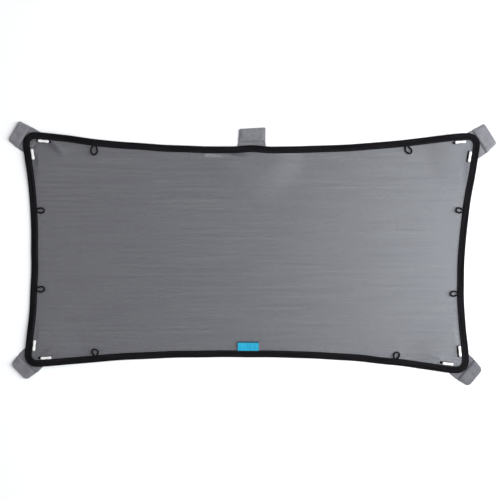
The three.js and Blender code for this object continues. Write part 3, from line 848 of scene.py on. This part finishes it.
def mesh_points(along, across):
    """The sheet drawn between its four edges, so that its courses follow them as the tension pulls them."""
    def edge(number, share):
        distance = corner_marks[number] + share * (corner_marks[number + 1] - corner_marks[number])
        return outline.inset(distance, np.full(len(distance), MESH_INSET))

    a, b = along[:, None], across[:, None]
    zero, one = np.zeros(1), np.ones(1)
    flat = (
        (1 - b) * edge(2, 1 - along) + b * edge(0, along)
        + (1 - a) * edge(3, across) + a * edge(1, 1 - across)
        - (1 - a) * (1 - b) * edge(2, one) - a * (1 - b) * edge(2, zero)
        - (1 - a) * b * edge(0, zero) - a * b * edge(0, one)
    )
    x, y = flat.T
    return np.column_stack([flat, MESH_HEIGHT + rise(x, y) + folded(x, y, FOLD_HEIGHT)])


bm = grid_of_cloth(300, 160, MESH_FLAT, mesh_points)
# How far the holes close at each point: the folds' cover together with their painted shade and light
fold_cover_and_painted_shade = bm.verts.layers.float.new("fold_cover_and_painted_shade")
flat = np.array([v.co for v in bm.verts]) / MM
for vert, share in zip(bm.verts, folded(flat[:, 0], flat[:, 1], FOLD_COVER_AND_PAINTED_SHADE)):
    vert[fold_cover_and_painted_shade] = share
mesh_cloth = piece("mesh_cloth", bm, NET, "shade_mesh", "mesh_panel")


# Pouches: folded jersey, open at the neck end that is sewn in under the binding

# Share of the cells along a pouch that its neck takes
NECK_SHARE = 0.34
# How far the sides draw in at the seam, over what width, and along the whole pouch
SEAM_NOTCH, SEAM_NOTCH_WIDTH = 0.9, 1.1
SIDE_HOLLOW = 0.35
# How far the seam sinks the pocket's and the neck's edge of it, and over what width
POCKET_SINK, NECK_SINK, SINK_WIDTH = 1.2, 0.45, 1.4
# The higher, the flatter the pocket's top and the steeper its sides
PUFF = 3.2
# The turned-in hem's dip: depth, place from the edge and width
HEM_DIP, HEM_FROM_EDGE, HEM_WIDTH = 0.28, 2.3, 0.55
# The magnet's corners show through as low peaks
CORNER_PEAK, CORNER_PEAK_WIDTH = 0.25, 1.4
# How far the folded sides swell out between top and back
SIDE_SWELL = 0.4


def pouch_points(pouch, cells, seed):
    x_cell, y_cell, z_cell = cells.T
    seam = pouch.seam
    t = (x_cell + 1) / 2
    pocket = 0.5 - 0.5 * np.cos(np.pi * np.clip((t - NECK_SHARE) / (1 - NECK_SHARE), 0, 1))
    side = np.sin(y_cell * math.pi / 2)
    # The neck is cut to the curve of the binding, which hides its end
    distances = np.linspace(0, outline.length, 4000)
    trim = outline.inset(distances, np.full(4000, NECK_DEPTH)) - pouch.start
    trim_x, trim_y = trim @ pouch.out, trim @ pouch.across
    near = (trim_x > -40) & (np.abs(trim_y) < 30)
    order = np.argsort(trim_y[near])
    neck_half = np.where(y_cell > 0, pouch.neck[0], pouch.neck[1])
    neck_end = np.interp(side * neck_half, trim_y[near][order], trim_x[near][order])
    in_neck = neck_end + (seam - neck_end) * t / NECK_SHARE
    x = np.where(t < NECK_SHARE, in_neck, seam + (pouch.reach - seam) * pocket)
    toward_end = np.clip(x / pouch.reach, 0, 1)
    half = neck_half + (pouch.end_width / 2 - neck_half) * toward_end
    radius = np.where(y_cell > 0, pouch.rounds[0], pouch.rounds[1])
    into_round = np.clip(x - (pouch.reach - radius), 0, radius)
    half = half - (radius - np.sqrt(np.clip(radius**2 - into_round**2, 0, None)))
    notch = SEAM_NOTCH * np.exp(-(((x - seam) / SEAM_NOTCH_WIDTH) ** 2))
    half = half - notch - SIDE_HOLLOW * np.sin(np.pi * toward_end)
    y = side * half
    to_side = half - np.abs(y)
    to_end = pouch.reach - x
    in_pocket = x >= seam
    rim = np.where(in_pocket, np.minimum(to_side, to_end), to_side)
    groove = np.exp(-(((x - seam) / SINK_WIDTH) ** 2))
    # The jersey lies flat over the magnet and slopes from its edges to the seams
    before_magnet = pouch.reach - MAGNET_FROM_END - MAGNET_LENGTH - x
    after_magnet = x - pouch.reach + MAGNET_FROM_END
    beside_magnet = np.clip(np.abs(y) - MAGNET_WIDTH / 2, 0, None)
    beyond = np.hypot(np.maximum.reduce([before_magnet, after_magnet, 0 * x]), beside_magnet)
    to_rim = np.minimum(rim, np.clip(x - seam, 0, None))
    puffed = 1 - (beyond / np.maximum(beyond + to_rim, 1e-6)) ** PUFF
    rim_top = RIM_TOP - POCKET_SINK * groove
    soft = 0.1 * waves(seed, 9, x, y) - HEM_DIP * np.exp(-(((rim - HEM_FROM_EDGE) / HEM_WIDTH) ** 2))
    for end in (MAGNET_FROM_END, MAGNET_FROM_END + MAGNET_LENGTH):
        to_corner = np.hypot(pouch.reach - end - x, np.abs(y) - MAGNET_WIDTH / 2)
        soft = soft + CORNER_PEAK * np.exp(-((to_corner / CORNER_PEAK_WIDTH) ** 2))
    pocket_top = rim_top + (POCKET_TOP - rim_top) * puffed + soft * puffed
    pleats = 0.12 * waves(seed + 7, 7, y, 0.2 * x)
    neck_top = NECK_TOP - NECK_SINK * groove + pleats * np.clip((seam - x) / 4, 0, 1)
    neck_top = neck_top - 0.5 * np.clip(1 - to_side, 0, 1) ** 2
    top_height = np.where(in_pocket, pocket_top, neck_top)
    foot = np.where(in_pocket, RIM_FOOT * np.clip(1 - rim / 1.8, 0, 1) ** 2, 0.0)
    foot = foot * np.clip((x - seam) / 2, 0, 1)
    share = (z_cell + 1) / 2
    height = foot + (top_height - foot) * share
    swell = SIDE_SWELL * np.sin(math.pi * share)
    x = x + np.where(x_cell > 0.999, swell, 0) + pouch.slant * y / pouch.end_width * 2 * pocket
    y = y + np.where(np.abs(y_cell) > 0.999, swell * np.sign(y_cell), 0)
    return np.column_stack([pouch.place(x, y), height])


def seam_ends(pouch):
    """Where the stitches of the seam that closes a pocket start and end."""
    reach = np.arange(-pouch.neck[1] + 2.6, pouch.neck[0] - 2.6, 2.7)
    starts = [(*pouch.place(pouch.seam, y), NECK_TOP - 0.3) for y in reach]
    ends = [(*pouch.place(pouch.seam, y + 2.3), NECK_TOP - 0.3) for y in reach]
    # A short bar tack holds each end of the seam
    for y in (0.9 - pouch.neck[1], 1.5 - pouch.neck[1], pouch.neck[0] - 1.5, pouch.neck[0] - 0.9):
        starts.append((*pouch.place(pouch.seam - 1.2, y), NECK_TOP - 0.1))
        ends.append((*pouch.place(pouch.seam + 1.2, y), NECK_TOP - 0.1))
    return starts, ends


for number, (name, pouch) in enumerate(pouches.items()):
    bm = block_of_cells((39, 43, 3))
    mouth = [face for face in bm.faces if all(v.co.x < -0.999 for v in face.verts)]
    bmesh.ops.delete(bm, geom=mouth, context="FACES_ONLY")
    cells = np.array([v.co for v in bm.verts])
    write_points(bm, pouch_points(pouch, cells, 11 + number))
    # Each pouch's painted light and shade, which its jersey reads
    dye = bm.verts.layers.float.new("dye")
    for vert in bm.verts:
        vert[dye] = pouch.dye
    bag = piece(f"pouch_{name}_jersey", bm, JERSEY, "pouch_fabric", f"pouch_{name}")
    seam = stitches(f"pouch_{name}_seam", *seam_ends(pouch), 0.6, GREY_THREAD_AND_SEAM_SHADE, "pouch_fabric")
    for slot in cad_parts[f"magnet_{name}"].material_slots:
        slot.link = "OBJECT"
        slot.material = NICKEL


# Cord loops

# Course of a loop's leg from under the binding's lip to its tip: into the shade, aside, and up
LEG = [
    (-2.2, -2.0, -0.5), (0, -2.3, -0.35), (1.5, -2.8, 0), (4.2, -4.0, 0), (7, -4.4, 0), (9.8, -3.7, 0),
    (11.9, -2.0, 0), (LOOP_REACH, 0, 0),
]


def smooth_course(points, count):
    """A rounded course through points, spaced evenly."""
    points = np.asarray(points, float)
    reach = np.concatenate(([0], np.cumsum(np.linalg.norm(np.diff(points, axis=0), axis=1))))
    fine = np.linspace(0, reach[-1], 400)
    tangents = np.gradient(points, reach, axis=0)
    k = np.clip(np.searchsorted(reach, fine, side="right") - 1, 0, len(reach) - 2)
    span = (reach[k + 1] - reach[k])[:, None]
    t = (fine - reach[k])[:, None] / span
    course = (
        (2 * t**3 - 3 * t**2 + 1) * points[k] + (t**3 - 2 * t**2 + t) * span * tangents[k]
        + (-2 * t**3 + 3 * t**2) * points[k + 1] + (t**3 - t**2) * span * tangents[k + 1]
    )
    reach = np.concatenate(([0], np.cumsum(np.linalg.norm(np.diff(course, axis=0), axis=1))))
    even = np.linspace(0, reach[-1], count)
    return np.stack([np.interp(even, reach, course[:, i]) for i in range(3)], axis=-1), reach[-1]


def cord_points(course, along, around):
    """A tube round a course, with the low relief of its braid."""
    place = along * (len(course) - 1)
    knots = np.arange(len(course))
    centre = np.stack([np.interp(place, knots, course[:, i]) for i in range(3)], axis=-1)
    way = np.gradient(course, axis=0)
    way = np.stack([np.interp(place, knots, way[:, i]) for i in range(3)], axis=-1)
    way /= np.linalg.norm(way, axis=1)[:, None]
    aside = np.cross(way, (0, 0, 1.0))
    aside /= np.linalg.norm(aside, axis=1)[:, None]
    above = np.cross(aside, way)
    turn = around * 2 * math.pi
    twist = along * 70
    braid = np.maximum(np.cos(4 * turn + twist), np.cos(4 * turn - twist))
    radius = (CORD_DIAMETER / 2 - 0.06 + 0.06 * braid)[:, None]
    return centre + radius * (np.cos(turn)[:, None] * aside + np.sin(turn)[:, None] * above)


for name, half in half_sides.items():
    long, wide, lean, shift = LOOP_SHAPES[name]
    mark = half["mark"](half["loop_from_corner"])
    legs = LEG + [(x, -y, z) for x, y, z in reversed(LEG[:-1])]
    base = MESH_TOP + CORD_DIAMETER / 2
    course = []
    for x, y, z in legs:
        aside = y * wide + shift + lean * max(x, 0) / LOOP_REACH
        flat = from_mark(mark, x * (long if x > 0 else 1), aside, BINDING_WIDTH + LIP_GAP)
        up = base + z + max(x, 0) * math.tan(math.radians(LOOP_TILT)) + float(rise(*flat))
        course.append((*flat, up))
    course, length = smooth_course(course, 120)
    tube = grid_of_cloth(
        110, 16, (length, math.pi * CORD_DIAMETER), lambda a, b: cord_points(course, a, b), closed=True
    )
    piece(f"loop_{name}_cord", tube, CORD, "elastic_cord", f"loop_{name}")


# Toggles and the black tape that keeps each one, set mostly to the toggle's left, where the tape is also a
# painted shadow of the toggle

# Each bar's distance from its corner, and the length, shift and offset inwards of the tape under it, which
# set the tape mostly to the bar's left as its painted shadow
TOGGLES = {
    "top_left": (13.6, 21.5, 0.2, 0.2), "top_right": (12.2, 19.5, -1.6, 0.2),
    "right_upper": (19.5, 16.6, 0, 2.0), "right_lower": (15.4, 16.6, 0, 2.0),
    "bottom_right": (14.8, 19.5, 1.6, 0.7), "bottom_left": (14.2, 19.5, 1.6, 0.7),
    "left_lower": (15.2, 15.6, 0, -0.5), "left_upper": (16.8, 15.6, 0, -0.5),
}
# Radius and place along the bar, thicker towards its rounded ends than at its waist
TOGGLE_PROFILE = [
    (0, -7.8), (1.0, -7.7), (1.7, -7.1), (2.0, -6.1), (2.0, -2.6), (1.8, -1.6), (1.65, -0.7), (1.65, 0.7),
    (1.8, 1.6), (2.0, 2.6), (2.0, 6.1), (1.7, 7.1), (1.0, 7.7), (0, 7.8),
]


def turned_bar():
    """The toggle's profile turned round its length, along y."""
    bm = bmesh.new()
    verts = [bm.verts.new((radius, length, 0)) for radius, length in TOGGLE_PROFILE]
    edges_made = [bm.edges.new(pair) for pair in zip(verts, verts[1:])]
    bmesh.ops.spin(
        bm, geom=verts + edges_made, axis=(0, 1, 0), cent=(0, 0, 0), angle=2 * math.pi, steps=28,
        use_merge=True,
    )
    bmesh.ops.remove_doubles(bm, verts=bm.verts, dist=1e-4)
    bmesh.ops.recalc_face_normals(bm, faces=bm.faces)
    return bm


def keeper_and_shadow_points(mark, depth, keeper_and_shadow, along, across):
    """The tape under a toggle, whose sewn ends stand up as small lumps. Set mostly to the toggle's left, the
    black tape is also a painted shadow of it.
    """
    _, length, slide, aside = keeper_and_shadow
    reach = (along - 0.5) * length
    inward = aside + (across - 0.5) * KEEPER_WIDTH * (0.8 + 0.2 * np.cos(math.pi * (along - 0.5)))
    flat = from_mark(mark, inward, reach + slide, depth)
    lump = 0.9 * np.exp(-(((np.abs(reach) - length / 2 + 1.4) / 1.2) ** 2))
    return np.column_stack([flat, KEEPER_HEIGHT + lump + rise(flat[:, 0], flat[:, 1])])


for name, half in half_sides.items():
    from_corner, keeper_and_shadow_length = TOGGLES[name][:2]
    mark = half["mark"](from_corner)
    depth = BINDING_WIDTH + TOGGLE_GAP + TOGGLE_DIAMETER / 2
    bm = turned_bar()
    local = np.array([v.co for v in bm.verts])
    # A shallow groove along the top, where the mould parts
    top_groove = 0.35 * np.exp(-((local[:, 0] / 0.5) ** 2)) * (local[:, 2] > 0) * (np.abs(local[:, 1]) < 7)
    local[:, 2] = local[:, 2] * 0.92 - top_groove
    flat = from_mark(mark, local[:, 0], local[:, 1], depth)
    base = MESH_TOP + TOGGLE_DIAMETER / 2 + rise(*from_mark(mark, 0.0, 0.0, depth))
    write_points(bm, np.column_stack([flat, base + local[:, 2]]))
    piece(f"toggle_{name}_bar", bm, NYLON, "toggle_plastic", f"toggle_{name}")

    strip = grid_of_cloth(
        44, 6, (keeper_and_shadow_length, KEEPER_WIDTH), lambda a, b: keeper_and_shadow_points(mark, depth, TOGGLES[name], a, b)
    )
    tape = piece(f"keeper_{name}", strip, KEEPER_TAPE_AND_SHADOW, "elastic_cord")
    thick = tape.modifiers.new("tape_thickness", "SOLIDIFY")
    thick.thickness = KEEPER_THICKNESS * MM
    thick.offset = 1


# Label: a woven tape folded over its free end and sewn in under the binding, left bare

label_line = Line(bottom[0] + SHIFT)
label_place = label_line.length - LABEL_OFFSET
label_mark = (label_line.at(label_place), label_line.inward(label_place))
label_flat = 2 * (LABEL_LENGTH + LABEL_IN_SEAM)


def label_points(along, across):
    """along runs out on the lower ply, round the fold and back on the upper one."""
    bend = math.pi * LABEL_PLY_GAP / 2
    reach = LABEL_LENGTH - LIP_GAP
    straight = reach + LABEL_IN_SEAM
    run = along * (2 * straight + bend)
    turn = np.clip((run - straight) / bend, 0, 1) * math.pi
    back = np.where(run > straight + bend, reach - (run - straight - bend), reach)
    inward = np.where(run < straight, run - LABEL_IN_SEAM, back)
    inward = inward + np.where((turn > 0) & (turn < math.pi), np.sin(turn) * LABEL_PLY_GAP / 2, 0)
    up = LABEL_PLY_GAP / 2 * (1 - np.cos(turn))
    belly = 0.35 * np.sin(math.pi * np.clip(inward / reach, 0, 1)) * (run > straight)
    sideways = (across - 0.5) * LABEL_WIDTH
    curl = 0.5 * (np.abs(across - 0.5) * 2) ** 3 * np.clip(inward / reach, 0, 1) ** 2
    flat = from_mark(label_mark, inward, sideways, BINDING_WIDTH + LIP_GAP)
    slope = np.clip(inward, 0, None) * math.tan(math.radians(LABEL_TILT))
    return np.column_stack([flat, MESH_TOP + 0.05 + up + belly + curl + slope])


ribbon = grid_of_cloth(56, 36, (label_flat, LABEL_WIDTH), label_points)
label = piece("label_tape", ribbon, LABEL_TAPE, "label_tape", "woven_label")
thick = label.modifiers.new("tape_thickness", "SOLIDIFY")
thick.thickness = LABEL_THICKNESS * MM
thick.offset = 0


# Stage: white paper, a window-like light from the right and a soft white surrounding

bm = bmesh.new()
bmesh.ops.create_grid(bm, x_segments=1, y_segments=1, size=FLOOR_HALF_WIDTH)
floor_data = bpy.data.meshes.new("floor")
bm.to_mesh(floor_data)
bm.free()
floor_data.materials.append(floor_paper())
floor = bpy.data.objects.new("floor", floor_data)
floor.location.z = -FLOOR_DROP * MM
bpy.context.scene.collection.objects.link(floor)

world = bpy.data.worlds.new("white_surround")
world.use_nodes = True
surround = world.node_tree.nodes["Background"].inputs
surround["Color"].default_value = colour("#ffffff")
surround["Strength"].default_value = SURROUND_STRENGTH
bpy.context.scene.world = world


def area_light(name, place, aim, size, power, tint):
    """A light panel of that size in metres and power in watts, turned towards a point."""
    data = bpy.data.lights.new(name, "AREA")
    data.shape = "RECTANGLE"
    data.size, data.size_y = size
    data.energy = power
    data.color = colour(tint)[:3]
    lamp = bpy.data.objects.new(name, data)
    lamp.location = place
    lamp.rotation_euler = (Vector(aim) - lamp.location).to_track_quat("-Z", "Y").to_euler()
    bpy.context.scene.collection.objects.link(lamp)


# The low light throws the soft shadows to the left, and the high one shines in the threads at the right
area_light("window_light", (1.05, -0.05, 0.75), (0.05, 0, 0), (0.45, 0.9), 12, "#ffffff")
area_light("softbox", (0.78, 0, 1.3), (0.25, 0, 0), (0.5, 0.8), 10, "#ecf6ff")

camera_data = bpy.data.cameras.new("camera")
camera_data.lens = 120
camera_data.sensor_width = 36
camera_data.clip_end = 20
camera = bpy.data.objects.new("camera", camera_data)
camera.location = (*VIEW_CENTRE, VIEW_WIDTH * camera_data.lens / camera_data.sensor_width)
bpy.context.scene.collection.objects.link(camera)
bpy.context.scene.camera = camera
bpy.context.scene.view_settings.view_transform = "Standard"
